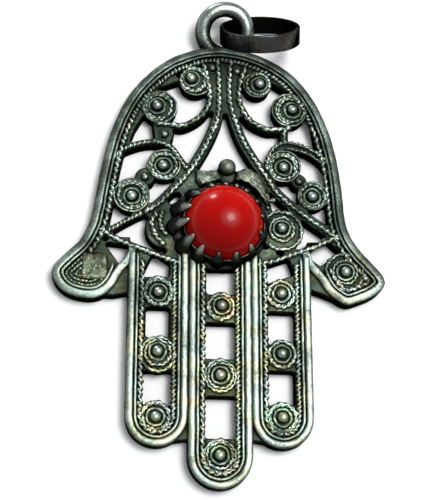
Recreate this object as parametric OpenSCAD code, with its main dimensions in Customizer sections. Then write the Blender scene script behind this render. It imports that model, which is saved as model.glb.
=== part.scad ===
// Hamsa pendant: a pierced cast hand with a raised beaded rim, a toothed setting, a round stone
// and a flat-band ring through the hanging loop. Lengths in mm, back on z = 0, loop towards +y.

/* [Plate] */
// Thickness of the pierced plate under the relief
plate_t = 1.6; // [1.4:0.1:1.6]
// Height of the plain rim band above the back
rim_h = 2.1; // [2.0:0.05:2.2]
// Height of the ropes and rings above the back
rope_h = 1.9; // [1.8:0.05:1.95]
// Width of the plain band at the edge
band_w = 0.75; // [0.65:0.05:0.85]
// Width of the whole rim, from the edge to the openings
rim_w = 1.8; // [1.7:0.05:1.9]
// Radius of the small fillets in the corners of the openings
fillet = 0.2; // [0.15:0.05:0.25]

/* [Grains] */
// Radius of the grains on the medallions
grain_r = 0.62; // [0.55:0.01:0.68]
// Radius of the small grains between the medallions
small_r = 0.42; // [0.36:0.01:0.46]

/* [Setting] */
// Outer radius of the foot of the setting
foot_r = 5.0; // [4.9:0.1:5.2]
// Height of the tooth tips above the back
tooth_top = 4.5; // [4.3:0.1:4.6]
// Number of teeth round the setting
teeth = 16; // [14:1:18]
// Height of the top of the stone above the back
stone_top = 6.5; // [6.3:0.1:6.7]

/* [Loop and ring] */
// Thickness of the wire of the hanging loop
loop_wire = 1.75; // [1.65:0.05:1.75]
// Angle at which the loop is bent up from the plate
loop_rise = 29; // [29:1:30]
// Outer radius of the flat-band ring
ring_r = 4.6; // [4.55:0.05:4.6]
// Thickness of the band of the ring
ring_t = 0.45; // [0.4:0.05:0.45]
// Width of the band of the ring
ring_w = 1.95; // [1.8:0.05:1.95]

/* [Hidden] */

sink = 0.5;            // every raised layer starts this high, inside the plate
inset = 0.06;          // step between the side of the plate and the side of the raised band
finger_r = 3.3;        // half width of a side finger
middle_r = 3.42;       // half width of the middle finger
finger_x = 6.67;       // distance of a side finger from the middle
stone_x = 0.35;        // the setting sits a little to the right
stone_y = 2.6;
gap = 0.07;            // space between the stone and its setting
seat_z = 1.7;          // floor of the cup that holds the stone
collar_z = 3.25;       // top of the plain wall, where the teeth start
stone_r = 4.3;
loop_r = 2.58;         // middle of the loop wire
loop_x = 0.55;
loop_root = [24.2, 0.95];
loop_reach = 2.5;      // from the root of the loop to its centre
ring_at = [4.38, 25.25, 4.04];
ring_tip = 47.2;       // lean of the axis of the ring from upright
ring_turn = 6;         // the ring is turned a little on the table
inner_shift = [0.35, 0.1]; // the openings sit this much to the right and up inside the rim
lean = 0.15;           // the relief sits this much lower than its places in the tables

// Outline of the palm from the top round the thumbs: y, width to the left, width to the right
edge = [
  [24.65, 0, 0], [24.2, 2.6, 3.1], [22.82, 5.75, 6.45], [20.8, 8.2, 9.0], [17.93, 10.4, 11.05],
  [14.4, 11.95, 12.5], [10.8, 12.9, 13.35], [7.1, 13.55, 13.8], [4.2, 13.98, 14.0], [2.2, 14.45, 14.45],
  [0.4, 15.35, 15.5], [-1.3, 17.0, 17.0], [-2.6, 18.05, 18.05], [-3.7, 18.1, 18.25], [-4.9, 17.4, 17.1],
  [-5.75, 16.1, 15.3], [-6.1, 14.1, 14.0], [-5.65, 12.5, 12.9], [-4.4, 11.3, 11.5], [-2.5, 10.5, 10.6],
  [-0.8, 10.0, 10.0]
];

// Fingers: x of the middle, y of the tip, half width
fingers = [[-finger_x, -21.8, finger_r], [0.04, -26.1, middle_r], [finger_x, -21.85, finger_r]];

// Windows: left, right, bottom, top
windows = [
  [-7.95, -5.45, -9.95, -6.85], [-8.2, -4.95, -17.2, -13.85],
  [-1.45, 2.05, -5.0, -1.9], [-1.65, 1.75, -12.15, -8.45], [-1.55, 1.85, -20.65, -16.45],
  [5.25, 8.2, -10.45, -7.05], [5.1, 8.05, -17.05, -13.6]
];

// Medallions: x, y, radius of the disc, x and y of the grain
medallions = [
  [-2.8, 20.2, 1.85, -3.3, 20.6], [-6.85, 16.8, 2.05, -7.15, 17.0], [-6.3, 9.75, 1.9, -6.35, 9.7],
  [-9.8, 6.0, 2.05, -9.75, 5.95], [4.3, 20.1, 1.65, 4.6, 20.25], [8.0, 17.05, 2.1, 8.35, 17.15],
  [7.25, 10.1, 2.0, 7.2, 10.0], [10.45, 6.65, 1.75, 10.4, 6.6], [6.9, 2.4, 2.45, 6.9, 2.75],
  [-5.95, 2.2, 2.4, -6.3, 2.4], [13.85, -2.2, 2.3, 13.9, -2.1],
  [-6.65, -5.0, 1.75, -6.65, -5.0], [-6.6, -11.9, 2.05, -6.65, -11.5], [-6.75, -18.5, 1.7, -6.75, -18.5],
  [0.1, -6.55, 1.65, 0.2, -6.3], [0.05, -14.1, 1.9, 0.05, -13.95], [0, -22.6, 1.9, 0, -22.4],
  [6.7, -4.95, 1.7, 6.7, -4.8], [6.7, -11.65, 1.65, 6.7, -11.5], [6.65, -18.5, 1.75, 6.65, -18.35]
];

// Small grains: x, y, radius of the plate under them
dots = [
  [-0.85, 22.0, 0.6], [2.0, 21.7, 0.6], [-6.25, 13.5, 1.1], [-8.35, 8.25, 1.15], [8.95, 8.35, 0.95],
  [16.1, -2.8, 0.7]
];

// Wires: width of the wire, width of the rope on it, then its path
wires = [
  [1.3, 0.5, [[-0.05, 18], [-0.2, 16], [-0.6, 14.6], [-1.25, 13], [-2.05, 11.4], [-3.05, 9.6]]],
  [1.28, 0.7, [[-2.95, 9.8], [-4.25, 8.0], [-5.75, 6.25], [-7.1, 4.85], [-8.4, 4.15]]],
  [0.75, 0.35, [[-8.6, 4.0], [-10.2, 3.1], [-12.0, 1.95], [-13.2, 1.4]]],
  [1.3, 0.5, [[1.15, 18], [1.55, 16], [2.4, 13.4], [3.4, 11.5], [4.5, 9.8], [5.6, 8.2]]],
  [1.28, 0.7, [[5.3, 8.35], [6.7, 6.6], [8.4, 5.1], [10.3, 3.7], [12.2, 2.4], [13.4, 1.45]]],
  [0.85, 0.5, [[-13.0, 1.95], [-11.6, 1.05], [-10.2, 0.4], [-8.4, -0.25], [-6.8, -0.85],
              [-5.2, -1.4], [-3.0, -1.8]]],
  [0.75, 0.45, [[13.3, 2.1], [11.6, 1.15], [10.2, 0.5], [8.8, 0.0], [7.2, -0.65], [5.4, -1.25], [3.0, -1.8]]],
  [0.9, 0.45, [[-5.9, 14.8], [-4.5, 14.55], [-3.6, 14.85], [-2.7, 15.4], [-1.8, 16.25], [-1.0, 17.8]]],
  [0.9, 0.45, [[7.0, 14.65], [5.6, 14.55], [4.8, 14.8], [3.9, 15.25], [3.2, 15.85], [2.3, 17.6]]],
  [0.85, 0.45, [[-12.0, 10.4], [-11.1, 11.3], [-10.1, 11.85], [-8.5, 12.4], [-6.9, 12.5], [-5.6, 12.0],
               [-4.8, 11.0], [-3.7, 9.4]]],
  [0.92, 0.45, [[12.8, 9.4], [11.9, 10.7], [10.8, 11.7], [9.2, 12.45], [7.4, 12.8], [6.5, 12.35], [5.7, 11.1],
                [5.45, 9.5]]],
  [2.1, 0.3, [[-6.7, 15.6], [-6.35, 12.6]]],
  [1.0, 0.45, [[7.4, 15.2], [7.35, 13.0]]],
  [1.8, 0.4, [[-8.8, 18.6], [-7.2, 20.0], [-4.9, 21.0]]],
  [2.1, 0.4, [[-9.2, 16.7], [-10.5, 14.4], [-11.3, 12.0]]],
  [1.2, 0.4, [[3.0, 22.0], [6.2, 21.0], [8.4, 19.5]]],
  [1.3, 0.4, [[11.1, 16.8], [11.35, 14.4], [11.75, 12.2]]],
  [0.9, 0.4, [[12.5, 6.4], [12.55, 4.2], [12.9, 2.2]]],
  [2.0, 0.5, [[-6.9, 3.9], [-4.8, 5.5], [-3.4, 7.4], [-2.0, 8.6]]],
  [1.2, 0.5, [[3.3, 8.6], [4.75, 6.7], [5.4, 4.4]]],
  [2.0, 0.4, [[-6.0, -0.55], [-3.4, -1.2], [0, -1.3], [3.8, -1.1], [6.4, -0.3]]]
];

// Openings of other shapes: between palm and thumb, over the outer fingers, and beside the setting
slots = [
  [[-12.6, 0.35], [-9.85, 0.05], [-10.65, -2.4]],
  [[11.7, 1.55], [13.35, 0.1], [11.2, -1.6], [9.6, -0.4]],
  [[-8.45, -3.4], [-5.55, -3.3], [-5.5, -1.75], [-7.0, -0.8], [-7.4, -1.0]],
  [[5.15, -3.8], [8.2, -2.7], [7.6, -0.95], [4.65, -2.05]],
  [[-5.9, 5.35], [-4.75, 6.5], [-4.3, 6.1], [-5.1, 5.05]]
];

function blend(a, b, c, d, t) =
  0.5 * (2 * b + (c - a) * t + (2 * a - 5 * b + 4 * c - d) * t * t + (3 * b - a - 3 * c + d) * t * t * t);

// Smooth path through the points p, with n steps between two of them
function smooth(p, n) = let (m = len(p) - 1) concat(
  [for (i = [0:m - 1], k = [0:n - 1]) blend(p[max(i - 1, 0)], p[i], p[i + 1], p[min(i + 2, m)], k / n)],
  [p[m]]
);

// The path c moved sideways by d
function beside(c, d) = let (m = len(c) - 1) [
  for (i = [0:m]) let (v = c[min(i + 1, m)] - c[max(i - 1, 0)]) c[i] + d / norm(v) * [-v[1], v[0]]
];

function turned(c) = [for (i = [len(c) - 1:-1:0]) c[i]];

module strip(path, w) {
  c = smooth(path, 2);
  polygon(concat(beside(c, w / 2), turned(beside(c, -w / 2))));
}

module palm_shape() {
  half = smooth(edge, 3);
  polygon(concat([for (p = half) [p[2], p[0]]], [for (p = turned(half)) [-p[1], p[0]]]));
}

module finger_shape(f) {
  translate([f[0] - f[2], f[1] + f[2]])
    square([2 * f[2], -3 - f[1] - f[2]]);
  translate([f[0], f[1] + f[2]])
    circle(r = f[2], $fn = 40);
}

// The part of a finger above its round end, up to the lower lid of the eye
module finger_root() {
  side = finger_x + finger_r;
  polygon([[-side, 0.5], [-3.4, -2.1], [3.4, -2.1], [side, 0.5], [side, -4], [-side, -4]]);
}

module soft_corners(r) {
  offset(r = r, $fn = 12) offset(delta = -r) children();
}

// Solid thumbs, the webs between them and the fingers, and the webs between the finger tips
module thumb_shape() {
  intersection() {
    palm_shape();
    union() {
      translate([-20, -8]) square([10.2, 8.6]);
      translate([9.8, -8]) square([10.2, 9.2]);
    }
  }
  polygon([[-9.8, 0], [-13, -5.6], [-11.5, -5.65], [-9.8, -5.3]]);
  polygon([[9.8, 0], [13, -5.6], [11.5, -5.0], [9.8, -4.4]]);
  for (s = [-1, 1])
    polygon([[s * 6.3, -21.5], [s * 3.2, -21.0], [s * 3.2, -18], [s * 6.3, -18]]);
}

module stem_shape() {
  polygon([[-2.3, 23.6], [-1.5, 19], [-1.0, 16.4], [2.0, 16.4], [2.4, 19], [3.1, 23.6]]);
}

// The pierced plate as seen from the front
module openwork() {
  offset(r = -fillet, $fn = 8)
    offset(r = fillet, $fn = 8)
      difference() {
        union() {
          difference() {
            palm_shape();
            translate(inner_shift) offset(delta = -rim_w) palm_shape();
            translate([-9.8, -4]) square([19.6, 5.4]);
          }
          difference() {
            union() {
              thumb_shape();
              finger_root();
              for (f = fingers) finger_shape(f);
            }
            for (w = windows)
              soft_corners(0.35) translate([w[0], w[2] - lean]) square([w[1] - w[0], w[3] - w[2] + lean]);
          }
          stem_shape();
          translate([0, -lean / 2]) {
            for (m = medallions) translate([m[0], m[1]]) circle(r = m[2] - lean / 2, $fn = 20);
            for (d = dots) translate([d[0], d[1]]) circle(r = d[2], $fn = 16);
            for (w = wires) strip(w[2], w[0]);
          }
          translate([stone_x, stone_y]) circle(r = foot_r, $fn = 48);
        }
        for (c = slots) soft_corners(0.2) polygon(c);
      }
}

// A band that follows the rim, from a to b inside the edge
module rim_strip(a, b) {
  difference() {
    offset(delta = -a) palm_shape();
    offset(delta = -b) palm_shape();
    translate([-9.9, -4]) square([19.8, 5]);
  }
}

module finger_strip(f, a, b) {
  difference() {
    offset(delta = -a) finger_shape(f);
    offset(delta = -b) finger_shape(f);
    translate([f[0] - 5, -3.2]) square([10, 1]);
  }
}

module ring_shape(r, w) {
  difference() {
    circle(r = r + w / 2, $fn = 16);
    circle(r = r - w / 2, $fn = 16);
  }
}

// Keeps what lies on the plate, a little in from the sides of its openings
module on_plate() {
  offset(delta = 0.01)
    intersection() {
      union() children();
      offset(delta = -inset) openwork();
    }
}

module plain_bands() {
  rim_strip(inset, band_w);
  for (f = fingers) finger_strip(f, inset, band_w - 0.1);
  for (s = [-1, 1])
    translate([s * (finger_x + finger_r - 0.36) - 0.29, -3.3]) square([0.58, 2.8]);
}

module ropes() {
  difference() {
    union() {
      rim_strip(band_w + 0.15, band_w + 0.3);
      rim_strip(rim_w - 0.55, rim_w - 0.1);
      for (f = fingers) finger_strip(f, band_w + 0.25, band_w + 0.6);
      translate([0, -lean]) {
        for (w = wires) strip(w[2], w[1]);
        for (m = medallions) translate([m[3], m[4]]) ring_shape(grain_r + 0.35, 0.25);
        for (m = medallions) translate([m[0], m[1]]) ring_shape(m[2] - 0.35, 0.25);
      }
      for (x = [-1.05, -0.1, 0.95, 1.9])
        polygon([[1.35 * x - 0.2, 23], [1.35 * x + 0.2, 23], [x + 0.2, 17], [x - 0.2, 17]]);
    }
    translate([stone_x, stone_y]) circle(r = foot_r - 0.3, $fn = 32);
  }
}

// A leaf beside the ball of the crown, as a lens of two arcs
module leaf(x, y, turn) {
  translate([x, y])
    rotate(turn)
      intersection() {
        translate([0, 1.5]) circle(r = 2.4, $fn = 32);
        translate([0, -1.5]) circle(r = 2.4, $fn = 32);
      }
}

module crown() {
  translate([0.8, 9.65 - lean, plate_t + 0.3]) sphere(r = 1.0, $fn = 32);
  translate([0, -lean, sink])
    linear_extrude(plate_t + 0.65 - sink) {
      leaf(-1.3, 8.6, 25);
      leaf(3.0, 8.5, -25);
      translate([0.8, 8.6]) circle(r = 1.2, $fn = 24);
    }
}

// The cup that holds the stone, with teeth cut into its upper edge
module setting() {
  tip_r = sphere_r_at(tooth_top) + gap + 0.05;
  translate([stone_x, stone_y])
    difference() {
      rotate_extrude($fn = 64)
        polygon([
          [0, sink], [foot_r - 0.1, sink], [foot_r - 0.1, plate_t + 0.3], [foot_r - 0.4, plate_t + 0.6],
          [stone_r + gap + 0.35, collar_z], [tip_r + 0.22, tooth_top], [tip_r, tooth_top],
          [stone_r + gap, collar_z], [stone_r + gap, seat_z], [0, seat_z]
        ]);
      for (i = [0:teeth - 1])
        rotate([90, 0, 360 / teeth * (i + 0.5)])
          translate([0, 0, 2])
            linear_extrude(4)
              polygon([[0, collar_z + 0.05], [0.75, tooth_top + 0.1], [-0.75, tooth_top + 0.1]]);
    }
}

// Radius of the ball that gives the top of the stone, and of the stone at the height z
ball_r = (pow(stone_r, 2) + pow(stone_top - collar_z, 2)) / (2 * (stone_top - collar_z));
function sphere_r_at(z) = sqrt(pow(ball_r, 2) - pow(z - stone_top + ball_r, 2));

module hanging_loop() {
  translate([
    loop_x, loop_root[0] + loop_reach * cos(loop_rise), loop_root[1] + loop_reach * sin(loop_rise)
  ])
    rotate([loop_rise, 0, 0])
      rotate_extrude($fn = 48)
        translate([loop_r, 0]) circle(d = loop_wire, $fn = 20);
}

module hand() {
  color("slategray") {
    linear_extrude(plate_t) openwork();
    translate([0, 0, sink]) linear_extrude(rim_h - sink) on_plate() plain_bands();
    translate([0, 0, sink]) linear_extrude(rope_h - sink) on_plate() ropes();
    translate([0, -lean, plate_t + 0.1]) {
      for (m = medallions) translate([m[3], m[4]]) sphere(r = grain_r, $fn = 20);
      for (d = dots) translate([d[0], d[1]]) sphere(r = small_r, $fn = 16);
    }
    crown();
    setting();
    hanging_loop();
  }
}

module stone() {
  color("red")
    translate([stone_x, stone_y])
      rotate_extrude($fn = 64)
        intersection() {
          translate([0, stone_top - ball_r]) circle(r = ball_r, $fn = 96);
          translate([0, seat_z + gap]) square([stone_r, 10]);
        }
}

module jump_ring() {
  color("dimgray")
    translate(ring_at)
      rotate([-ring_tip, 0, ring_turn])
        rotate_extrude($fn = 64)
          translate([ring_r - ring_t, -ring_w / 2])
            square([ring_t, ring_w]);
}

hand();
stone();
jump_ring();
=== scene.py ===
import math

import bpy
import numpy as np
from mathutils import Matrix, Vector, geometry, noise


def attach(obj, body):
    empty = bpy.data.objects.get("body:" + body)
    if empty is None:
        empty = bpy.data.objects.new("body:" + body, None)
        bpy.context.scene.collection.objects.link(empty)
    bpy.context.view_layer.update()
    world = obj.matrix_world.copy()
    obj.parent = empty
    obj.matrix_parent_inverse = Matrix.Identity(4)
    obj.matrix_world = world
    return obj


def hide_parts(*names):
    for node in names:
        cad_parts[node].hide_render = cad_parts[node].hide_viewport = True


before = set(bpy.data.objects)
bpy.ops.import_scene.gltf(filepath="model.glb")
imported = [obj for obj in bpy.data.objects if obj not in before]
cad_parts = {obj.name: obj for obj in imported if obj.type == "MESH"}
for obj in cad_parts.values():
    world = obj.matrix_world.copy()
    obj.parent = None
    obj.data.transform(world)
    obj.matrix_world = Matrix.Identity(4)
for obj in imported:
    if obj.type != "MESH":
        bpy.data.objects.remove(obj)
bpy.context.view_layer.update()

MM = 0.001

# Blender's noise starts from the clock, so this makes the uneven surfaces the same in each run
noise.seed_set(1)

# Main sizes in millimetres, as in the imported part
PLATE_T = 1.6
RIM_H = 2.1
FINGER_R = 3.3
MIDDLE_R = 3.42
FINGER_X = 6.67
STONE_AT = (0.35, 2.6)
STONE_R = 4.3
STONE_TOP = 6.5
GIRDLE_Z = 3.25
DOME_R = (STONE_R ** 2 + (STONE_TOP - GIRDLE_Z) ** 2) / (2 * (STONE_TOP - GIRDLE_Z))
FOOT_R = 5.0
WIDE_FOOT_AT = (-0.4, 2.5)
TOOTH_FOOT = 1.7
TOOTH_TOP = 4.34
LOOP_R = 2.58
LOOP_WIRE_R = 0.875
LOOP_X = 0.55
LOOP_ROOT = (24.2, 0.95)
LOOP_REACH = 2.5
LOOP_RISE = math.radians(29)
RING_AT = (4.38, 25.25, 4.04)
RING_R = 4.6
RING_T = 0.45
RING_W = 1.95
RING_TIP = math.radians(47.2)
RING_TURN = math.radians(6)
BALL_AT = (0.8, 9.5, 1.9)
BALL_FOOT_AT = (0.75, 8.75)
BALL_R = 1.0
GRAIN_R = 0.62
DOT_R = 0.42

# Relief on the plate: height of the ropes' middle, and the shift of what was traced higher than the plate
ROPE_Z = 1.64
LEAN = np.array([0, -0.15])

# Bands and ridges along the edges: how far in from the edge, width, height of the shoulder and the crest
RIM_BAND = (0.48, 0.92, 1.45, RIM_H)
RIM_RIDGE = (1.13, 0.34, 1.6, 2.0)
FINGER_BAND = (0.42, 0.84, 1.5, 2.08)
FINGER_RIDGE = (1.03, 0.36, 1.6, 2.0)
BAND_LOW = 0.3
RIDGE_LOW = 1.2
BAND_STEP = 0.35
RIM_ROPE_IN = 1.66
FINGER_ROPE_IN = 1.53

# Medallions: the collar round a grain and the spiral or ropes round the collar
COLLAR_R = 0.92
SPIRAL_R = 1.3
SPIRAL_TURNS = 1.7
SPIRAL_STEPS = 60
INNER_ROPE_R = 1.35

# Camera at the photograph's angle: direction to it, point it looks at and distance in millimetres, and
# focal length as a share of the picture's height
SIGHT = np.array([-0.10, -0.33, 1.0])
SIGHT = SIGHT / np.linalg.norm(SIGHT)
TARGET = np.array([-0.155, 0.0, 1.2])
DISTANCE = 130.0
FOCAL_SHARE = 1181.8 / 500
SENSOR = 36
IMAGE_UP = np.array([0, 1, 0]) - SIGHT[1] * SIGHT
IMAGE_UP = IMAGE_UP / np.linalg.norm(IMAGE_UP)
IMAGE_RIGHT = np.cross(IMAGE_UP, SIGHT)

# Outline of the palm from the top round the thumbs: y, width to the left, width to the right
EDGE = [
    (24.65, 0, 0), (24.2, 2.6, 3.1), (22.82, 5.75, 6.45), (20.8, 8.2, 9.0), (17.93, 10.4, 11.05),
    (14.4, 11.95, 12.5), (10.8, 12.9, 13.35), (7.1, 13.55, 13.8), (4.2, 13.98, 14.0), (2.2, 14.45, 14.45),
    (0.4, 15.35, 15.5), (-1.3, 17.0, 17.0), (-2.6, 18.05, 18.05), (-3.7, 18.1, 18.25), (-4.9, 17.4, 17.1),
    (-5.75, 16.1, 15.3), (-6.1, 14.1, 14.0), (-5.65, 12.5, 12.9), (-4.4, 11.3, 11.5), (-2.5, 10.5, 10.6),
]

# Where the band of a thumb runs on to the finger beside it, without the sign of x
BAND_END = [(9.5, -0.2), (9.75, -1.1), (10.25, -1.9), (10.95, -2.7)]

# Fingers: x of the middle, y of the tip, half width
FINGERS = [(-FINGER_X, -21.8, FINGER_R), (0.04, -26.1, MIDDLE_R), (FINGER_X, -21.85, FINGER_R)]

# Medallions: x, y, radius of the disc, x and y of the grain, style: 1 with an edge, 2 with two ropes
MEDALLIONS = [
    (-2.8, 20.2, 1.85, -3.3, 20.6, 1), (-6.85, 16.8, 2.05, -7.15, 17.0, 1),
    (-6.3, 9.75, 1.9, -6.35, 9.7, 1), (-9.8, 6.0, 2.05, -9.75, 5.95, 1),
    (4.3, 20.1, 1.65, 4.6, 20.25, 1), (8.0, 17.05, 2.1, 8.35, 17.15, 1),
    (7.25, 10.1, 2.0, 7.2, 10.0, 1), (10.45, 6.65, 1.75, 10.4, 6.6, 1),
    (6.9, 2.4, 2.45, 6.9, 2.75, 2), (13.85, -2.2, 2.3, 13.9, -2.1, 2),
    (-6.65, -5.0, 1.75, -6.65, -5.0, 2), (-6.6, -11.9, 2.05, -6.65, -11.5, 2),
    (-6.75, -18.5, 1.7, -6.75, -18.5, 2), (0.1, -6.55, 1.65, 0.2, -6.3, 2),
    (0.05, -14.1, 1.9, 0.05, -13.95, 2), (0, -22.6, 1.9, 0, -22.4, 2),
    (6.7, -4.95, 1.7, 6.7, -4.8, 2), (6.7, -11.65, 1.65, 6.7, -11.5, 2),
    (6.65, -18.5, 1.75, 6.65, -18.35, 2),
]

# Small grains: x, y
DOTS = [(-0.85, 22.0), (2.0, 21.7), (-6.25, 13.5), (-8.35, 8.25), (8.95, 8.35), (16.1, -2.8)]

# Ropes on the wires: radius, length of a bead, path
WIRE_ROPES = [
    (0.34, 0.74, [(-0.3, 23.2), (-0.1, 20.5), (-0.05, 18), (-0.2, 16), (-0.6, 14.6), (-1.25, 13),
                  (-2.05, 11.4), (-3.05, 9.6), (-4.25, 8.0), (-5.75, 6.25), (-7.1, 4.85), (-8.4, 4.15)]),
    (0.34, 0.74, [(1.3, 23.2), (1.1, 20.5), (1.15, 18), (1.6, 16), (2.5, 13.4), (3.5, 11.5), (4.6, 9.8),
                  (5.6, 8.2), (6.7, 6.6), (8.4, 5.1), (10.3, 3.7), (12.2, 2.4), (13.4, 1.45)]),
    (0.33, 0.6, [(-13.2, 2.1), (-11.6, 1.05), (-10.2, 0.4), (-8.4, -0.25), (-6.8, -0.85), (-5.2, -1.4),
                 (-3.6, -1.75)]),
    (0.33, 0.75, [(13.3, 2.1), (11.6, 1.15), (10.2, 0.5), (8.8, 0.0), (7.2, -0.65), (5.4, -1.25),
                  (3.9, -1.65)]),
    (0.36, 0.8, [(-7.2, 14.7), (-5.9, 14.75), (-4.5, 14.6), (-3.6, 14.9), (-2.7, 15.45), (-1.8, 16.3),
                 (-1.15, 17.8), (-1.35, 20.2), (-1.9, 22.6)]),
    (0.36, 0.8, [(8.2, 14.85), (7.0, 14.7), (5.6, 14.6), (4.8, 14.85), (3.9, 15.3), (3.2, 15.9),
                 (2.35, 17.6), (2.3, 20.0), (3.0, 22.4)]),
    (0.3, 0.55, [(-12.0, 10.4), (-11.1, 11.3), (-10.1, 11.85), (-8.5, 12.4), (-6.9, 12.5), (-5.6, 12.0),
                 (-4.8, 11.0), (-3.7, 9.4)]),
    (0.3, 0.6, [(12.9, 9.4), (12.1, 10.9), (11.0, 11.95), (9.3, 12.75), (7.4, 13.05), (6.3, 12.5),
                (5.5, 11.2), (5.3, 9.6)]),
    (0.2, 0.5, [(12.4, 9.4), (11.6, 10.7), (10.6, 11.45), (9.1, 12.1), (7.5, 12.35)]),
    (0.3, 0.5, [(-8.6, 4.0), (-10.2, 3.1), (-12.0, 1.95), (-13.2, 1.4)]),
    (0.3, 0.55, [(3.3, 8.6), (4.75, 6.7), (5.4, 4.9)]),
    (0.3, 0.55, [(7.4, 14.9), (7.35, 13.0)]),
    (0.36, 0.6, [(-6.9, 4.1), (-7.5, 3.1), (-7.35, 2.2), (-6.85, 1.15), (-6.0, 0.35)]),
    (0.34, 0.5, [(-6.3, 4.4), (-6.6, 3.2), (-6.3, 2.15), (-5.85, 1.5)]),
]

# Corners of the leaves of the crown
CROWN_LEAVES = [
    [(-2.71, 9.12), (-1.7, 9.0), (-0.1, 9.15), (0.3, 8.16), (-0.69, 7.53), (-2.25, 7.11), (-2.7, 7.81)],
    [(1.66, 9.18), (3.36, 9.61), (4.26, 8.92), (4.92, 7.75), (5.35, 6.57), (5.67, 5.16), (5.11, 5.25),
     (4.23, 6.65), (3.12, 7.68), (1.55, 8.1)],
]

# Corners of the worn patch on the left thumb
PATCH = [(-15.1, -0.75), (-12.2, -0.95), (-12.05, -3.9), (-15.0, -3.95)]

# Teeth of the setting: angle round the stone and width
TEETH = [
    (7, 0.9), (32, 0.9), (55, 1.0), (72, 0.8), (88, 0.9), (110, 0.9), (135, 1.0), (160, 1.0), (183, 0.9),
    (210, 1.0), (233, 0.9), (260, 1.0), (287, 1.0), (313, 1.0), (340, 0.9),
]

# Tarnish and painted shade: reach of a recess in metres, darkened as patina and painted shade, waves a
# metre of the worn patches and of the grit, and the height of the grit in metres
RECESS_REACH = 0.0007
PATCH_WAVES = 330.0
GRIT_WAVES = 4000.0
GRIT_HEIGHT = 0.00006

# Stains of the old silver: waves a metre, where the stain starts and is full, colour
TINTS = [
    (420.0, 0.44, 0.6, (1.5, 1.05, 0.45)), (310.0, 0.52, 0.66, (0.8, 1.1, 0.85)),
    (500.0, 0.58, 0.7, (1.5, 0.75, 0.5)), (370.0, 0.6, 0.7, (0.75, 0.85, 1.25)),
]


def smooth(points, steps=6):
    """Smooth path through the points."""
    p = np.array(points, float)
    p = np.vstack([p[:1], p, p[-1:]])
    t = np.arange(steps)[:, None] / steps
    parts = []
    for a, b, c, d in zip(p, p[1:], p[2:], p[3:]):
        parts.append(0.5 * (2 * b + (c - a) * t + (2 * a - 5 * b + 4 * c - d) * t ** 2
                            + (3 * b - a - 3 * c + d) * t ** 3))
    return np.vstack(parts + [p[-1:]])


def resample(path, step, closed=False):
    """The path with points at equal distances, and the distance of each from the start."""
    p = np.vstack([path, path[:1]]) if closed else np.asarray(path, float)
    lengths = np.concatenate([[0], np.cumsum(np.linalg.norm(np.diff(p, axis=0), axis=1))])
    n = max(3, round(lengths[-1] / step))
    s = np.linspace(0, lengths[-1], n, endpoint=False) if closed else np.linspace(0, lengths[-1], n + 1)
    return np.stack([np.interp(s, lengths, p[:, k]) for k in range(p.shape[1])], 1), s, lengths[-1]


def sideways(path, closed=False):
    """Unit vectors to the left of a flat path."""
    if closed:
        v = np.roll(path, -1, 0) - np.roll(path, 1, 0)
    else:
        v = np.gradient(path, axis=0)
    v = v[:, :2] / np.linalg.norm(v[:, :2], axis=1)[:, None]
    return np.stack([-v[:, 1], v[:, 0]], 1)


def beside(path, d):
    """The path moved to its left by d, without the points that come too close to it."""
    moved = path + d * sideways(path)
    far = np.array([np.min(np.hypot(*(path - m).T)) > abs(d) * 0.98 for m in moved])
    return moved[far]


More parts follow.
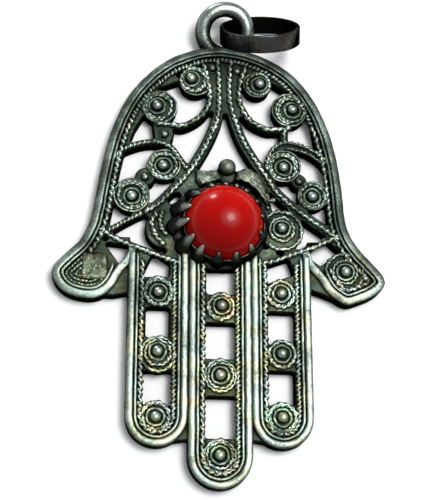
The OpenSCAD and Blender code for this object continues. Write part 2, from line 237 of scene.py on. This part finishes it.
class Shells:
    """Closed shells of one piece, in millimetres."""

    def __init__(self):
        self.verts = []
        self.faces = []
        self.count = 0

    def grid(self, rings, closed=False, caps=True):
        """A tube through the rings, an array of rows by points by xyz."""
        n, m = rings.shape[:2]
        base = self.count
        self.verts.append(rings.reshape(-1, 3))
        self.count += n * m
        rows = np.arange(n if closed else n - 1)
        a = (rows[:, None] * m + np.arange(m)[None]).ravel()
        b = (rows[:, None] * m + np.roll(np.arange(m), -1)[None]).ravel()
        c = ((((rows + 1) % n)[:, None]) * m + np.roll(np.arange(m), -1)[None]).ravel()
        d = ((((rows + 1) % n)[:, None]) * m + np.arange(m)[None]).ravel()
        self.faces += (np.stack([a, b, c, d], 1) + base).tolist()
        if caps and not closed:
            self.faces.append([base + k for k in reversed(range(m))])
            self.faces.append([base + (n - 1) * m + k for k in range(m)])

    def sweep(self, path, z, profile, closed=False):
        """A section, or one for each row, of side and up points along a flat path at the height z."""
        side = sideways(path, closed)
        profile = np.broadcast_to(profile, (len(path),) + np.shape(profile)[-2:])
        xy = path[:, None, :2] + side[:, None, :] * profile[..., :1]
        up = np.broadcast_to(np.reshape(z, (-1, 1)), (len(path), 1)) + profile[..., 1]
        self.grid(np.concatenate([xy, up[..., None]], 2), closed)

    def rope(self, path, z, radius, bead, closed=False, spokes=10, slant=0.7, waist=0.5):
        """A twisted wire: its strands slant across it, and no two are quite alike."""
        length = resample(path, bead, closed)[2]
        beads = max(2, round(length / bead))
        row, s, length = resample(path, length / (beads * 6), closed)
        angle = np.arange(spokes) * 2 * math.pi / spokes
        phase = math.pi * s[:, None] * beads / length + slant * np.cos(angle)
        size = radius * (1 + 0.1 * np.sin(s * 5.1 + self.count) + 0.08 * np.sin(s * 2.3 + 1.7))
        r = size[:, None] * (waist + (1 - waist) * np.abs(np.sin(phase)) ** 0.7)
        self.sweep(row, z, np.stack([-r * np.cos(angle), r * np.sin(angle)], 2), closed)

    def ball(self, at, radius, rings=12, spokes=20):
        """A round grain."""
        t = np.linspace(0.04, math.pi - 0.04, rings)[:, None]
        a = np.arange(spokes)[None] * 2 * math.pi / spokes
        xyz = np.stack([np.sin(t) * np.cos(a), np.sin(t) * np.sin(a), -np.cos(t) + 0 * a], 2)
        self.grid(np.array(at) + radius * xyz)

    def ring(self, at, radius, z, wire, spokes=8, steps=24):
        """A plain round ring lying flat."""
        a = np.arange(steps) * 2 * math.pi / steps
        t = np.arange(spokes) * 2 * math.pi / spokes
        path = np.stack([at[0] + radius * np.cos(a), at[1] + radius * np.sin(a)], 1)
        self.sweep(path, z, np.stack([-wire * np.cos(t), wire * np.sin(t)], 1), closed=True)

    def rough(self, amount, scale, seed):
        """Uneven surface of a cast piece: every point moves by smooth noise."""
        xyz = np.vstack(self.verts)
        shift = Vector((seed * 17.3, seed * 5.1, seed * 9.7))
        moved = [noise.noise_vector(Vector(p) * scale + shift) for p in xyz]
        self.verts = [xyz + amount * np.array(moved)]

    def piece(self, name, material, slot="old_silver", node="hand"):
        """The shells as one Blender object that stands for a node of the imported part."""
        mesh = bpy.data.meshes.new(name)
        mesh.from_pydata((np.vstack(self.verts) * MM).tolist(), [], self.faces)
        mesh.materials.append(material)
        return place(name, mesh, slot, node)


def place(name, mesh, slot, node):
    """Links a mesh as a piece that stands for a node."""
    mesh.polygons.foreach_set("use_smooth", [True] * len(mesh.polygons))
    mesh.update()
    piece = bpy.data.objects.new(name, mesh)
    bpy.context.scene.collection.objects.link(piece)
    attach(piece, "root")
    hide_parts(node)
    return piece


def palm_path():
    """The outline from the inner side of the left thumb over the top to that of the right thumb."""
    half = smooth(EDGE, 8)
    left = np.stack([-half[:, 1], half[:, 0]], 1)[::-1]
    right = np.stack([half[:, 2], half[:, 0]], 1)[1:]
    return np.vstack([left, right])


def finger_path(x, tip, r, inset, top):
    """Down one side of a finger, round its tip and up the other side, this far inside its edge."""
    w = r - inset
    turn = np.linspace(math.pi, 2 * math.pi, 24)
    end = np.stack([x + w * np.cos(turn), tip + r + w * np.sin(turn)], 1)
    return np.vstack([[(x - w, top)], end, [(x + w, top)]])


def bar(width, shoulder, top, low=BAND_LOW, n=15, fall=0.0):
    """Section of a bar with a worn, rather flat crest, lower on its left by fall: side and up."""
    t = np.linspace(0, math.pi, n)
    side = np.sign(np.cos(t)) * np.abs(np.cos(t)) ** 0.7
    up = shoulder + (top - shoulder) * np.sin(t) ** 0.4 - fall * (0.5 + 0.5 * side) * np.sin(t)
    crest = np.stack([width / 2 * side, up], 1)
    return np.vstack([[(width / 2, low)], crest, [(-width / 2, low)]])[::-1]


def ridge(width, shoulder, top):
    """Section of a thin ridge that stands on the plate."""
    return bar(width, shoulder, top, low=RIDGE_LOW, n=9)


def mound(shells, corners, low, high, dip=0.0):
    """A low uneven mound over a polygon, with rounded sides and a top that may dip in the middle."""
    outline = resample(np.array(corners), 0.12, closed=True)[0]
    middle = outline.mean(0)
    rings = []
    for share in np.concatenate([[1.0], np.cos(np.linspace(0.0, 1.56, 16))]):
        rise = (1 - share ** 6) ** 0.5 if rings else -1.0
        z = low + (high - low) * rise - dip * (1 - share) ** 0.5
        rings.append(np.column_stack([middle + share * (outline - middle), np.full(len(outline), z)]))
    shells.grid(np.array(rings))


def turned(profile, at, steps):
    """Rings of a turned shape: radius and height pairs round a vertical axis."""
    a = np.arange(steps) * 2 * math.pi / steps
    r, z = np.array(profile).T
    return np.stack([at[0] + r[:, None] * np.cos(a), at[1] + r[:, None] * np.sin(a), z[:, None] + 0 * a], 2)


def back_loops():
    """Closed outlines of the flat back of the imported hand, in millimetres."""
    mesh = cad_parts["hand"].data
    points = np.array([v.co for v in mesh.vertices]) / MM
    spots = {}
    place_of = [spots.setdefault((round(x, 4), round(y, 4)), len(spots)) if z < 0.01 else -1
                for x, y, z in points]
    xy = np.array(list(spots))
    edges = set()
    for face in mesh.polygons:
        ids = [place_of[v] for v in face.vertices]
        if min(ids) >= 0:
            edges.update(zip(ids, ids[1:] + ids[:1]))
    after = {a: b for a, b in edges if (b, a) not in edges}
    loops = []
    while after:
        start = next(iter(after))
        loop = [start]
        while loop[-1] in after:
            loop.append(after.pop(loop[-1]))
            if loop[-1] == start:
                loop.pop()
                break
        loops.append(thin(xy[loop]))
    return loops


def thin(loop, shortest=0.06):
    """The loop without points that lie closer together than this."""
    kept = [loop[0]]
    for p in loop[1:]:
        if np.hypot(*(p - kept[-1])) > shortest:
            kept.append(p)
    return np.array(kept)


def inset_loop(loop, d):
    """The closed outline moved into the metal, which lies to its right, by d."""
    along = np.roll(loop, -1, 0) - loop
    along = along / np.linalg.norm(along, axis=1)[:, None]
    right = np.stack([along[:, 1], -along[:, 0]], 1)
    before = np.roll(right, 1, 0)
    corner = np.maximum(1 + np.sum(right * before, 1), 0.6)
    return loop + d * (right + before) / corner[:, None]


def inside(points, loops):
    """Which of the points lie in the metal: an odd number of outlines runs to the right of each."""
    odd = np.zeros(len(points), bool)
    for loop in loops:
        for (x1, y1), (x2, y2) in zip(loop, np.roll(loop, -1, 0)):
            if y1 != y2:
                between = (points[:, 1] > min(y1, y2)) & (points[:, 1] <= max(y1, y2))
                odd ^= between & (x1 + (points[:, 1] - y1) * (x2 - x1) / (y2 - y1) > points[:, 0])
    return odd


def build_plate(material):
    """The pierced plate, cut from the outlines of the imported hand, with rounded edges."""
    levels = [(0.1, 0.0), (0.0, 0.12), (0.0, PLATE_T - 0.3), (0.03, PLATE_T - 0.14), (0.09, PLATE_T - 0.04),
              (0.18, PLATE_T)]
    loops = back_loops()
    shells = Shells()
    flats = {0: [], len(levels) - 1: []}
    for loop in loops:
        rings = [np.column_stack([inset_loop(loop, d), np.full(len(loop), z)]) for d, z in levels]
        for level in flats:
            flats[level].append((shells.count + level * len(loop), rings[level][:, :2]))
        shells.grid(np.array(rings), caps=False)
    walls = len(shells.faces)
    for level, parts in flats.items():
        points = [Vector(p) for first, ring in parts for p in ring]
        number = [first + k for first, ring in parts for k in range(len(ring))]
        edges = []
        for first, ring in parts:
            at = len(edges)
            edges += [(at + k, at + (k + 1) % len(ring)) for k in range(len(ring))]
        out = geometry.delaunay_2d_cdt(points, edges, [], 0, 1e-6)
        corners = np.array([[out[0][v] for v in face] for face in out[2]])
        keep = inside(corners.mean(1), [ring for first, ring in parts])
        for face in np.array(out[2])[keep]:
            ids = [number[out[3][v][0]] if out[3][v] else None for v in face]
            if None not in ids:
                shells.faces.append(ids if level else ids[::-1])
    plate = shells.piece("cast_plate", material)
    plate.data.polygons.foreach_set("use_smooth", [k < walls for k in range(len(plate.data.polygons))])
    return plate


def build_bands(material):
    """Plain round bands along the rim and the fingers, and the thin ridges beside them."""
    shells = Shells()
    rim = palm_path()
    inset, *size = RIM_BAND
    core = beside(rim, -inset)
    core = core[(core[:, 1] < -3.4) | (core[:, 1] > 0) | (np.abs(core[:, 0]) > 12)]
    meet = np.array(BAND_END)
    band = resample(np.vstack([meet * (-1, 1), core, meet[::-1]]), BAND_STEP)[0]
    shells.sweep(band, 0, bar(*size, fall=0.2))
    inset, *size = RIM_RIDGE
    shells.sweep(resample(beside(rim, -inset), BAND_STEP)[0], 0, ridge(*size))
    for x, tip, r in FINGERS:
        top = -1.3 if r == MIDDLE_R else -0.6
        inset, *size = FINGER_BAND
        band = resample(finger_path(x, tip, r, inset, top), BAND_STEP)[0]
        shells.sweep(band, 0, bar(*size, fall=-0.06))
        inset, *size = FINGER_RIDGE
        thin_ridge = resample(finger_path(x, tip, r, inset, top - 0.3), BAND_STEP)[0]
        shells.sweep(thin_ridge, 0, ridge(*size))
    shells.rough(0.04, 1.1, 1)
    return shells.piece("rim_bands", material)


def build_rim_ropes(material):
    """Ropes along the inside of the rim and the fingers, and the arcs round the worn patch."""
    shells = Shells()
    rim = palm_path()
    rope = beside(rim, -RIM_ROPE_IN)
    rope = rope[(rope[:, 1] >= -1.0) | (rope[:, 0] >= 0)]
    x, y = rope.T
    shells.rope(rope[(y < 15.5) & (x < 0)], ROPE_Z, 0.37, 0.7, waist=0.35)
    shells.rope(rope[y > 15], ROPE_Z - 0.02, 0.36, 0.48, waist=0.35)
    shells.rope(rope[(y < 15.5) & (x > 0)], ROPE_Z, 0.34, 0.75, slant=-0.7, waist=0.35)
    for x, tip, r in FINGERS:
        path = finger_path(x, tip, r, FINGER_ROPE_IN, -1.6)
        half = len(path) // 2
        shells.rope(path[:half + 1], ROPE_Z, 0.37, 0.7, slant=1.3, waist=0.3)
        shells.rope(path[half:][::-1], ROPE_Z, 0.37, 0.5, slant=-1.2, waist=0.3)
    for k in range(4):
        arc = beside(rim[:len(rim) // 2], -1.5 - 0.44 * k)
        arc = arc[(arc[:, 1] < -1.2 - 0.3 * k) & (arc[:, 0] < -12.6)]
        shells.rope(arc, ROPE_Z - 0.09, 0.23, 0.45, waist=0.6)
    shells.rough(0.07, 1.6, 2)
    return shells.piece("rim_ropes", material)


def build_wires(material):
    """Ropes on the scroll wires and in the stem."""
    shells = Shells()
    for radius, bead, path in WIRE_ROPES:
        shells.rope(smooth(path) + LEAN, ROPE_Z + 0.02, radius, bead, slant=0.8, waist=0.4)
    shells.rough(0.08, 1.6, 3)
    return shells.piece("wire_ropes", material)


def build_medallions(material):
    """Collars round the grains, and the ropes and edges round these."""
    shells = Shells()
    a = np.linspace(0, 2 * math.pi, 49)[:-1]
    circle = np.stack([np.cos(a), np.sin(a)], 1)
    for x, y, disc, gx, gy, style in MEDALLIONS:
        middle = np.array([x, y]) + LEAN / 2
        grain = np.array([gx, gy]) + LEAN
        shells.sweep(grain + COLLAR_R * circle, 0, ridge(0.34, 1.55, 1.76), closed=True)
        between = (grain + middle) / 2
        if style == 1:
            turn = math.radians(47 * x) + np.linspace(0, SPIRAL_TURNS, SPIRAL_STEPS) * 2 * math.pi
            out = np.linspace(SPIRAL_R, disc - 0.32, SPIRAL_STEPS)[:, None]
            around = np.stack([np.cos(turn), np.sin(turn)], 1)
            shells.rope(between + out * around, ROPE_Z, 0.27, 0.6, slant=0.5)
            once = around[:36]
            shells.sweep(middle + (disc - 0.14) * once, 0, ridge(0.24, 1.6, 1.8))
        else:
            shells.rope(between + INNER_ROPE_R * circle, ROPE_Z, 0.26, 0.55, closed=True, slant=1.2)
            shells.rope(middle + (disc - 0.24) * circle, ROPE_Z, 0.27, 0.66, closed=True, slant=-1.4)
    for dot in DOTS:
        shells.ring(dot + LEAN, 0.56, ROPE_Z - 0.03, 0.09)
    shells.rough(0.09, 1.7, 4)
    return shells.piece("medallion_ropes", material)


def build_patch(material):
    """The worn flat patch on the left thumb."""
    shells = Shells()
    mound(shells, PATCH, 1.6, 1.92, 0.15)
    shells.rough(0.09, 1.7, 10)
    return shells.piece("thumb_patch", material)


def build_grains(material):
    """Round grains of the medallions and the small grains between them."""
    shells = Shells()
    for x, y, disc, gx, gy, style in MEDALLIONS:
        shells.ball((gx, gy + LEAN[1], 1.72), GRAIN_R)
    for x, y in DOTS:
        shells.ball((x, y + LEAN[1], 1.7), DOT_R, rings=10, spokes=16)
    shells.rough(0.03, 1.3, 5)
    return shells.piece("grains", material)


def build_crown(material):
    """The ball above the stone, and the worn leaves on both sides of it."""
    shells = Shells()
    for corners in CROWN_LEAVES:
        mound(shells, corners, 1.55, 2.3)
    stem = np.array(CROWN_LEAVES[1][5:9][::-1]) + (0.35, 0.45)
    shells.rope(stem, 2.1, 0.3, 0.7)
    shells.rough(0.17, 1.9, 6)
    shells.piece("crown_leaves", material)
    ball = Shells()
    ball.ball(BALL_AT, BALL_R, rings=18, spokes=28)
    foot = [(0.01, 1.0), (1.25, 1.0), (1.2, 1.62), (0.9, 1.8), (0.01, 1.85)]
    ball.grid(turned(foot, BALL_FOOT_AT, 32))
    ball.rough(0.03, 1.2, 12)
    return ball.piece("crown_ball", material)


def dome_r(z):
    """Radius of the stone at the height z."""
    return math.sqrt(max(0, DOME_R ** 2 - (z - STONE_TOP + DOME_R) ** 2))


def build_setting(material):
    """The cup under the stone, and its tall teeth bent in over the girdle."""
    shells = Shells()
    wall = STONE_R + 0.08
    cup = [
        (0.01, 0.5), (FOOT_R - 0.05, 0.5), (FOOT_R, 1.7), (FOOT_R - 0.15, 1.85), (FOOT_R - 0.42, 1.9),
        (wall + 0.18, 2.2), (wall + 0.16, 3.1), (wall + 0.1, 3.3), (wall, 3.25), (wall, 1.75), (0.01, 1.72),
    ]
    shells.grid(turned(cup, STONE_AT, 72))
    wide = [(0.01, 0.5), (4.9, 0.5), (5.0, 1.62), (4.8, 1.85), (4.3, 1.9), (0.01, 1.6)]
    shells.grid(turned(wide, WIDE_FOOT_AT, 72))
    for angle, size in TEETH:
        tooth(shells, math.radians(angle), size)
    shells.rough(0.04, 1.2, 7)
    return shells.piece("bezel", material)


def tooth(shells, angle, size):
    """A pointed tooth with a ridge down its middle, from the foot to the stone, longer on the left."""
    rows = []
    for f in np.linspace(0, 1, 10):
        z = TOOTH_FOOT + (TOOTH_TOP - TOOTH_FOOT) * f
        reach = dome_r(z) + 0.06 if z > GIRDLE_Z else STONE_R + 0.12
        reach += 1.3 * max(0, -math.cos(angle)) ** 2 * (1 - f) ** 1.5
        crest = 0.62 - 0.36 * f
        half = size * (1 - f) ** 0.8 + 0.1
        section = [(-half, 0.0), (-half, 0.1), (-half * 0.3, crest - 0.03),
                   (half * 0.3, crest), (half, 0.1), (half, 0.0)]
        rows.append([(reach + out, side, z) for side, out in section])
    r, s, z = np.moveaxis(np.array(rows), 2, 0)
    bend = np.sqrt(np.maximum(r ** 2 - s ** 2, 0))
    c, d = math.cos(angle), math.sin(angle)
    shells.grid(np.stack([STONE_AT[0] + c * bend - d * s, STONE_AT[1] + d * bend + c * s, z], 2))


def build_stone(material):
    """The round cabochon."""
    side = math.asin(STONE_R / DOME_R)
    base = [(0.01, 1.77), (STONE_R - 0.3, 1.77), (STONE_R - 0.02, 2.1), (STONE_R, 3.0)]
    dome = [(DOME_R * math.sin(t), STONE_TOP - DOME_R + DOME_R * math.cos(t))
            for t in np.linspace(side, 0.003, 30)]
    shells = Shells()
    shells.grid(turned(base + dome, STONE_AT, 96))
    return shells.piece("cabochon", material, "red_stone", "stone")


def build_loop(material):
    """The round wire loop at the top, bent up from the plate."""
    shells = Shells()
    a = np.arange(72) * 2 * math.pi / 72
    t = np.arange(20) * 2 * math.pi / 20
    r = LOOP_R + LOOP_WIRE_R * np.cos(t)[None]
    up = LOOP_WIRE_R * np.sin(t)[None] + 0 * r * a[:, None]
    flat = np.stack([r * np.cos(a)[:, None], r * np.sin(a)[:, None], up], 2)
    c, s = math.cos(LOOP_RISE), math.sin(LOOP_RISE)
    x = LOOP_X + flat[..., 0]
    y = LOOP_ROOT[0] + LOOP_REACH * c + c * flat[..., 1] - s * flat[..., 2]
    z = LOOP_ROOT[1] + LOOP_REACH * s + s * flat[..., 1] + c * flat[..., 2]
    shells.grid(np.stack([x, y, z], 2), closed=True)
    shells.rough(0.03, 0.8, 8)
    return shells.piece("hanging_loop", material)


def build_ring(material):
    """The flat-band ring through the loop."""
    shells = Shells()
    soft = 0.09
    a = np.arange(112) * 2 * math.pi / 112
    w, t = RING_W / 2, RING_T / 2
    corners = [(t - soft, w - soft), (soft - t, w - soft), (soft - t, soft - w), (t - soft, soft - w)]
    section = [(cx + soft * math.cos(q), cz + soft * math.sin(q))
               for k, (cx, cz) in enumerate(corners)
               for q in np.radians(90 * k + np.array([0, 30, 60, 90]))]
    u, v = np.array(section).T
    r = RING_R - t + u[None]
    flat = np.stack([r * np.cos(a)[:, None], r * np.sin(a)[:, None], v[None] + 0 * a[:, None]], 2)
    c, d = math.cos(RING_TIP), math.sin(RING_TIP)
    x = flat[..., 0]
    y = c * flat[..., 1] + d * flat[..., 2]
    z = -d * flat[..., 1] + c * flat[..., 2]
    c, d = math.cos(RING_TURN), math.sin(RING_TURN)
    shells.grid(np.stack([c * x - d * y, d * x + c * y, z], 2) + np.array(RING_AT), closed=True)
    shells.rough(0.015, 0.9, 9)
    return shells.piece("jump_ring_band", material, "dark_silver", "jump_ring")


class Nodes:
    """Short way to add and link the nodes of a material."""

    def __init__(self, name):
        self.material = bpy.data.materials.new(name)
        self.material.use_nodes = True
        self.tree = self.material.node_tree
        self.shader = self.tree.nodes["Principled BSDF"]

    def add(self, kind, inputs=None, **settings):
        """A node with these settings, and values or links for its inputs."""
        node = self.tree.nodes.new(kind)
        for key, value in settings.items():
            setattr(node, key, value)
        for key, value in (inputs or {}).items():
            self.give(node.inputs[key], value)
        return node

    def give(self, socket, value):
        """Links the socket to another, or sets its value."""
        if isinstance(value, bpy.types.NodeSocket):
            self.tree.links.new(value, socket)
        else:
            socket.default_value = value

    def math(self, kind, a, b=0.0, clamp=False):
        """One sum of two numbers."""
        return self.add("ShaderNodeMath", {0: a, 1: b}, operation=kind, use_clamp=clamp).outputs[0]

    def spread(self, value, low, high, to_low=0.0, to_high=1.0):
        """The value carried from one range to another, and held within it."""
        node = self.add("ShaderNodeMapRange", {"Value": value, "From Min": low, "From Max": high,
                                               "To Min": to_low, "To Max": to_high})
        return node.outputs["Result"]

    def noise(self, place, scale, detail=3.0, rough=0.55):
        """Cloudy noise, with the scale in waves a metre."""
        node = self.add("ShaderNodeTexNoise", {"Vector": place, "Scale": scale, "Detail": detail,
                                               "Roughness": rough})
        return node.outputs["Fac"]

    def tinted(self, color, tint):
        """The colour multiplied by a tint, which may be above 1."""
        return self.add("ShaderNodeVectorMath", {0: color, 1: tint}, operation="MULTIPLY").outputs[0]

    def mix(self, share, a, b):
        """The first colour with this share of the second."""
        node = self.add("ShaderNodeMix", data_type="RGBA")
        self.give(node.inputs[0], share)
        self.give(node.inputs[6], a)
        self.give(node.inputs[7], b)
        return node.outputs[2]


def metal(name, recess, middle, crest, rough, relief, palm_and_fingers=(1.0, 1.0), tints=0.0):
    """Tarnished metal: dark in the recesses, as patina and painted shade, dark on the walls as painted
    shade, and bright where it is rubbed and faces up, as wear and painted highlight.

    rough is from rubbed to dark, relief is two heights and the share of rubbing and painted light at each,
    and the pair after it is that share at the palm and at the fingers, which leaves the palm darker.
    """
    n = Nodes(name)
    at = n.add("ShaderNodeTexCoord").outputs["Object"]
    place = n.add("ShaderNodeSeparateXYZ", {0: at})
    height = n.math("MULTIPLY", place.outputs["Z"], 1000.0)
    normal = n.add("ShaderNodeNewGeometry").outputs["Normal"]
    up = n.add("ShaderNodeSeparateXYZ", {0: normal}).outputs["Z"]
    # Ambient occlusion darkens the recesses: partly patina, partly painted shade
    open_sky = n.add("ShaderNodeAmbientOcclusion", {"Distance": RECESS_REACH}, samples=8).outputs["AO"]
    patches = n.noise(at, PATCH_WAVES)
    grit = n.noise(at, GRIT_WAVES, 4.0, 0.7)
    # Share of bright metal: painted shade on walls that don't face up and on low parts, painted light on
    # high tops that face up, and real rubbing of the high points
    rubbed_and_lit = n.math("MULTIPLY", n.spread(open_sky, 0.3, 0.9), n.spread(up, -0.1, 0.7))
    rubbed_and_lit = n.math("MULTIPLY", rubbed_and_lit, n.spread(height, *relief))
    # Lower share on the palm than on the fingers, so the palm comes out darker
    rubbed_and_lit = n.math("MULTIPLY", rubbed_and_lit, n.spread(place.outputs["Y"], 0.006, -0.004, *palm_and_fingers))
    patchy = n.spread(patches, 0.3, 0.7, 0.62, 1.35)
    gritty = n.spread(grit, 0.3, 0.7, 0.72, 1.25)
    rubbed_and_lit = n.math("MULTIPLY", rubbed_and_lit, n.math("MULTIPLY", patchy, gritty), clamp=True)
    # From the recess colour, patina and painted shade, to the crest colour, rubbed silver and painted
    # highlight
    ramp = n.add("ShaderNodeValToRGB", {0: rubbed_and_lit})
    ramp.color_ramp.elements[0].position = 0.1
    ramp.color_ramp.elements[0].color = (*recess, 1)
    ramp.color_ramp.elements[1].position = 0.98
    ramp.color_ramp.elements[1].color = (*crest, 1)
    ramp.color_ramp.elements.new(0.55).color = (*middle, 1)
    color = ramp.outputs[0]
    for scale, low, high, tint in TINTS:
        share = n.spread(n.noise(at, scale), low, high, 0.0, tints)
        fingers = n.spread(place.outputs["Y"], 0.004, -0.008, 0.35, 1.0)
        color = n.mix(n.math("MULTIPLY", share, fingers), color, n.tinted(color, tint))
    n.give(n.shader.inputs["Base Color"], color)
    n.give(n.shader.inputs["Metallic"], 1.0)
    n.give(n.shader.inputs["Specular Tint"], (0.2, 0.22, 0.2, 1))
    n.give(n.shader.inputs["Roughness"], n.spread(rubbed_and_lit, 0.1, 0.9, rough[1], rough[0]))
    bump = n.add("ShaderNodeBump", {"Height": grit, "Strength": 0.6, "Distance": GRIT_HEIGHT})
    n.give(n.shader.inputs["Normal"], bump.outputs[0])
    return n.material


def stone_material():
    """Opaque polished red with faint clouds, and painted shade that darkens its lower side."""
    n = Nodes("red_stone")
    at = n.add("ShaderNodeTexCoord").outputs["Object"]
    cloud = n.spread(n.noise(at, 300.0), 0.3, 0.7)
    # Painted shade: the stone is painted a darker red towards low y, its lower side, and the full red
    # higher up
    low = n.spread(n.add("ShaderNodeSeparateXYZ", {0: at}).outputs["Y"], -0.001, 0.006)
    shaded_red = n.mix(cloud, (0.19, 0.0, 0.0, 1), (0.23, 0.0, 0.0, 1))
    far = n.mix(cloud, (0.44, 0.002, 0.0, 1), (0.5, 0.003, 0.0, 1))
    n.give(n.shader.inputs["Base Color"], n.mix(low, shaded_red, far))
    n.give(n.shader.inputs["Roughness"], 0.16)
    n.give(n.shader.inputs["IOR"], 1.18)
    n.give(n.shader.inputs["Coat Weight"], 0.25)
    n.give(n.shader.inputs["Coat IOR"], 1.4)
    n.give(n.shader.inputs["Coat Roughness"], 0.24)
    fine = n.noise(at, 1500.0)
    bump = n.add("ShaderNodeBump", {"Height": fine, "Strength": 0.05, "Distance": 0.00002})
    n.give(n.shader.inputs["Normal"], bump.outputs[0])
    return n.material


def floor_material():
    """Plain pale floor."""
    n = Nodes("pale_floor")
    at = n.add("ShaderNodeTexCoord").outputs["Object"]
    shade = n.mix(n.noise(at, 30.0), (0.86, 0.86, 0.86, 1), (0.9, 0.9, 0.9, 1))
    n.give(n.shader.inputs["Base Color"], shade)
    n.give(n.shader.inputs["Roughness"], 0.8)
    return n.material


def aimed(obj, at, target, up):
    """Puts an object at a place, in millimetres, looking at the target."""
    back = np.array(at) - np.array(target)
    back = back / np.linalg.norm(back)
    right = np.cross(up, back)
    right = right / np.linalg.norm(right)
    top = np.cross(back, right)
    obj.matrix_world = [
        [*right, 0],
        [*top, 0],
        [*back, 0],
        [*(MM * np.array(at)), 1],
    ]
    bpy.context.scene.collection.objects.link(obj)
    return obj


def make_camera():
    """The photograph's camera."""
    data = bpy.data.cameras.new("camera")
    data.sensor_width = SENSOR
    data.lens = SENSOR * FOCAL_SHARE
    data.clip_start = 0.005
    camera = aimed(bpy.data.objects.new("camera", data), TARGET + SIGHT * DISTANCE, TARGET, IMAGE_UP)
    bpy.context.scene.camera = camera


def light(name, right, up, out, size, power, color=(1, 1, 1)):
    """A round area light, placed in millimetres to the right, up and towards the viewer in the picture."""
    data = bpy.data.lights.new(name, "AREA")
    data.shape = "DISK"
    data.size = size * MM
    data.energy = power
    data.color = color
    at = TARGET + right * IMAGE_RIGHT + up * IMAGE_UP + out * SIGHT
    return aimed(bpy.data.objects.new(name, data), at, TARGET, IMAGE_UP)


def make_stage():
    """The floor, the world and the lights."""
    mesh = bpy.data.meshes.new("floor")
    far = 1500 * MM
    mesh.from_pydata([(-far, -far, 0), (far, -far, 0), (far, far, 0), (-far, far, 0)], [], [(0, 1, 2, 3)])
    mesh.materials.append(floor_material())
    floor = bpy.data.objects.new("floor", mesh)
    bpy.context.scene.collection.objects.link(floor)
    world = bpy.data.worlds.new("studio")
    world.use_nodes = True
    world.node_tree.nodes["Background"].inputs[0].default_value = (0.95, 0.98, 1.0, 1)
    world.node_tree.nodes["Background"].inputs[1].default_value = 0.35
    bpy.context.scene.world = world
    light("key", 146, 152, 340, 150, 1.0)
    light("glow", 155, 160, 370, 420, 0.9)
    light("window", -150, 442, -47, 90, 0.6, (0.95, 1.0, 1.0))


bpy.context.scene.view_settings.view_transform = "Standard"
make_camera()
make_stage()

ground_silver = metal(
    "ground_silver", recess=(0.004, 0.006, 0.005), middle=(0.04, 0.056, 0.044), crest=(0.17, 0.22, 0.18),
    rough=(0.4, 0.6), relief=(1.2, 2.0, 0.1, 1.0), palm_and_fingers=(0.9, 1.0), tints=0.6)
silver = metal(
    "old_silver", recess=(0.005, 0.009, 0.007), middle=(0.10, 0.135, 0.108), crest=(0.48, 0.58, 0.53),
    rough=(0.34, 0.55), relief=(1.5, 2.0, 0.15, 1.0), palm_and_fingers=(0.85, 1.0), tints=0.6)
band_silver = metal(
    "band_silver", recess=(0.005, 0.008, 0.006), middle=(0.068, 0.09, 0.076), crest=(0.30, 0.37, 0.335),
    rough=(0.42, 0.55), relief=(1.3, 2.1, 0.05, 1.0), palm_and_fingers=(0.7, 1.0), tints=0.35)
loop_silver = metal(
    "loop_silver", recess=(0.005, 0.006, 0.005), middle=(0.05, 0.06, 0.05), crest=(0.4, 0.47, 0.43),
    rough=(0.28, 0.45), relief=(0.3, 3.2, 0.1, 1.0))
bezel_metal = metal(
    "dark_bezel", recess=(0.006, 0.007, 0.006), middle=(0.055, 0.062, 0.054), crest=(0.5, 0.54, 0.48),
    rough=(0.3, 0.5), relief=(1.4, 4.4, 0.3, 1.0))
crown_metal = metal(
    "worn_crown", recess=(0.005, 0.007, 0.005), middle=(0.07, 0.085, 0.065), crest=(0.21, 0.245, 0.2),
    rough=(0.5, 0.65), relief=(1.5, 2.3, 0.2, 0.9), tints=0.3)
patch_metal = metal(
    "worn_patch", recess=(0.01, 0.014, 0.009), middle=(0.07, 0.088, 0.06), crest=(0.27, 0.3, 0.22),
    rough=(0.5, 0.65), relief=(1.6, 2.0, 0.1, 1.0), tints=0.25)
ring_metal = metal(
    "dark_ring", recess=(0.003, 0.003, 0.003), middle=(0.011, 0.011, 0.011), crest=(0.1, 0.1, 0.1),
    rough=(0.25, 0.45), relief=(0.5, 7.5, 0.3, 1.0), tints=0.8)

build_plate(ground_silver)
build_bands(band_silver)
build_rim_ropes(silver)
build_wires(silver)
build_medallions(silver)
build_patch(patch_metal)
build_grains(silver)
build_crown(crown_metal)
build_setting(bezel_metal)
build_stone(stone_material())
build_loop(loop_silver)
build_ring(ring_metal)
